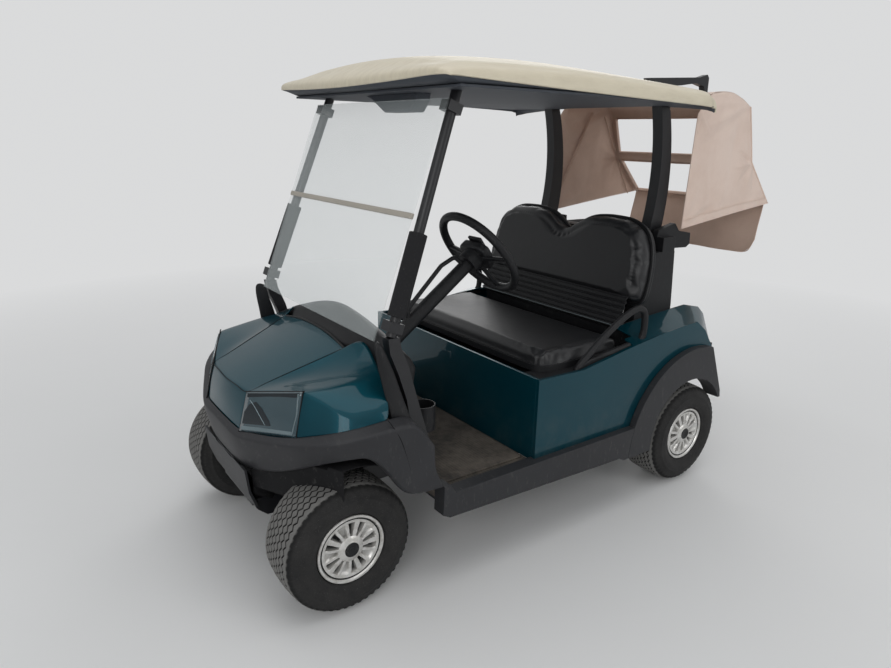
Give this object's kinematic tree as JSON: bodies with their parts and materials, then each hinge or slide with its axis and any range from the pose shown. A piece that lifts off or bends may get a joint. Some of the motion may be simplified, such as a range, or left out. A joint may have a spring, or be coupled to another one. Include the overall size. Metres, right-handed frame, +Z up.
{
  "type": "two-seat electric golf cart",
  "caption": "Electric golf cart with bench seat, fixed roof, folding clear screen, fabric bag cover over a rear bag well, steered front wheels and small cast wheels.",
  "frame": {"origin": "on the floor under the middle of the cart's overall box", "axes": "-Y is the front of the cart, +X is the driver's side, +Z is up"},
  "size_m": [1.2, 2.642, 1.7639],
  "materials": {
    "body_paint": "deep teal metallic paint under clear coat",
    "charcoal_trim": "moulded, fine grain",
    "black_plastic": "moulded, satin",
    "black_steel": "powder coat",
    "bright_steel": "zinc plated",
    "silver_wheel": "silver lacquer",
    "tyre_rubber": "dusty",
    "seat_vinyl": "grained vinyl",
    "roof_shell": "cream, moulded",
    "dark_lining": "moulded",
    "clear_screen": "clear acrylic",
    "hinge_strip": "flexible strip",
    "foam": "foam sleeve",
    "mat_rubber": "ribbed, worn",
    "cover_cloth": "woven, pinkish beige",
    "smoked_lens": "smoked",
    "red_lens": "red",
    "battery_case": "moulded",
    "motor_cast": "cast"
  },
  "bodies": {
    "root": {"armrests": "black_plastic", "bag_cover": "cover_cloth", "bag_rack": "black_steel", "battery_pack": "battery_case", "cover_arms": "black_steel", "cup_holders": "black_plastic", "dash": "black_plastic", "floor_mat": "mat_rubber", "floor_pan": "mat_rubber", "frame_members": "black_steel", "frame_rails": "black_steel", "front_axle_beam": "black_steel", "front_bumper": "charcoal_trim", "front_cowl": "body_paint", "front_pillars": "black_steel", "front_shocks": "bright_steel", "front_undershield": "charcoal_trim", "headlights": "smoked_lens", "motor_and_transaxle": "motor_cast", "pedals": "black_plastic", "pillar_sleeves": "foam", "quarter_panels": "body_paint", "rack_housing": "black_steel", "rear_axle_tube": "black_steel", "rear_bumper": "charcoal_trim", "rear_deck": "black_plastic", "rear_flares": "charcoal_trim", "rear_springs": "black_steel", "rear_struts": "black_steel", "roof": "roof_shell", "roof_liner": "dark_lining", "screen_hinge": "hinge_strip", "screen_lower": "clear_screen", "screen_upper": "clear_screen", "seat_back": "seat_vinyl", "seat_back_frame": "black_plastic", "seat_box_front": "body_paint", "seat_ledges": "black_plastic", "sills": "charcoal_trim", "steering_column": "black_plastic", "tail_lights": "red_lens"},
    "steering_wheel": {"steering_wheel": "black_plastic"},
    "steering_link": {"steering_link": "bright_steel"},
    "steering_rack": {"steering_rack": "bright_steel"},
    "knuckle_left": {"knuckle_left": "black_steel"},
    "knuckle_right": {"knuckle_right": "black_steel"},
    "front_wheel_left": {"front_tyre_left": "tyre_rubber", "front_rim_left": "silver_wheel"},
    "front_wheel_right": {"front_tyre_right": "tyre_rubber", "front_rim_right": "silver_wheel"},
    "rear_wheel_left": {"rear_tyre_left": "tyre_rubber", "rear_rim_left": "silver_wheel", "rear_axle_shaft_left": "bright_steel"},
    "rear_wheel_right": {"rear_tyre_right": "tyre_rubber", "rear_rim_right": "silver_wheel", "rear_axle_shaft_right": "bright_steel"},
    "seat": {"seat_cushion": "seat_vinyl"}
  },
  "joints": [
    {"name": "steer_left", "type": "hinge", "parent": "root", "child": "knuckle_left", "pos_m": [0.318, -1.081, 0.226], "axis": [0, 0, 1], "range_deg": [-30, 30]},
    {"name": "steer_right", "type": "hinge", "parent": "root", "child": "knuckle_right", "pos_m": [-0.318, -1.081, 0.226], "axis": [0, 0, 1], "range_deg": [-31, 31]},
    {"name": "steering_turn", "type": "hinge", "parent": "root", "child": "steering_wheel", "pos_m": [0.24, -0.785, 0.775], "axis": [0, 0.7986, 0.6018], "range_deg": [-460, 460]},
    {"name": "link_turn", "type": "hinge", "parent": "root", "child": "steering_link", "pos_m": [0.098, -0.971, 0.212], "axis": [0.2606, 0.2182, 0.9405], "range_deg": [-460, 460]},
    {"name": "rack_slide", "type": "slide", "parent": "root", "child": "steering_rack", "axis": [-1, 0, 0], "range_m": [-0.057, 0.057]},
    {"name": "spin_front_left", "type": "hinge", "parent": "knuckle_left", "child": "front_wheel_left", "pos_m": [0.43, -1.081, 0.226], "axis": [1, 0, 0], "continuous": true},
    {"name": "spin_front_right", "type": "hinge", "parent": "knuckle_right", "child": "front_wheel_right", "pos_m": [-0.43, -1.081, 0.226], "axis": [1, 0, 0], "continuous": true},
    {"name": "spin_rear_left", "type": "hinge", "parent": "root", "child": "rear_wheel_left", "pos_m": [0.49, 0.579, 0.226], "axis": [1, 0, 0], "continuous": true},
    {"name": "spin_rear_right", "type": "hinge", "parent": "root", "child": "rear_wheel_right", "pos_m": [-0.49, 0.579, 0.226], "axis": [1, 0, 0], "continuous": true},
    {"name": "seat_tilt", "type": "hinge", "parent": "root", "child": "seat", "pos_m": [0, 0.167, 0.655], "axis": [-1, 0, 0], "range_deg": [0, 55]}
  ],
  "couplings": [
    {"joint": "steer_right", "follows": "steer_left", "ratio": 1},
    {"joint": "steering_turn", "follows": "steer_left", "ratio": 15},
    {"joint": "link_turn", "follows": "steer_left", "ratio": 15},
    {"joint": "rack_slide", "follows": "steer_left", "m_per_rad": 0.105}
  ]
}
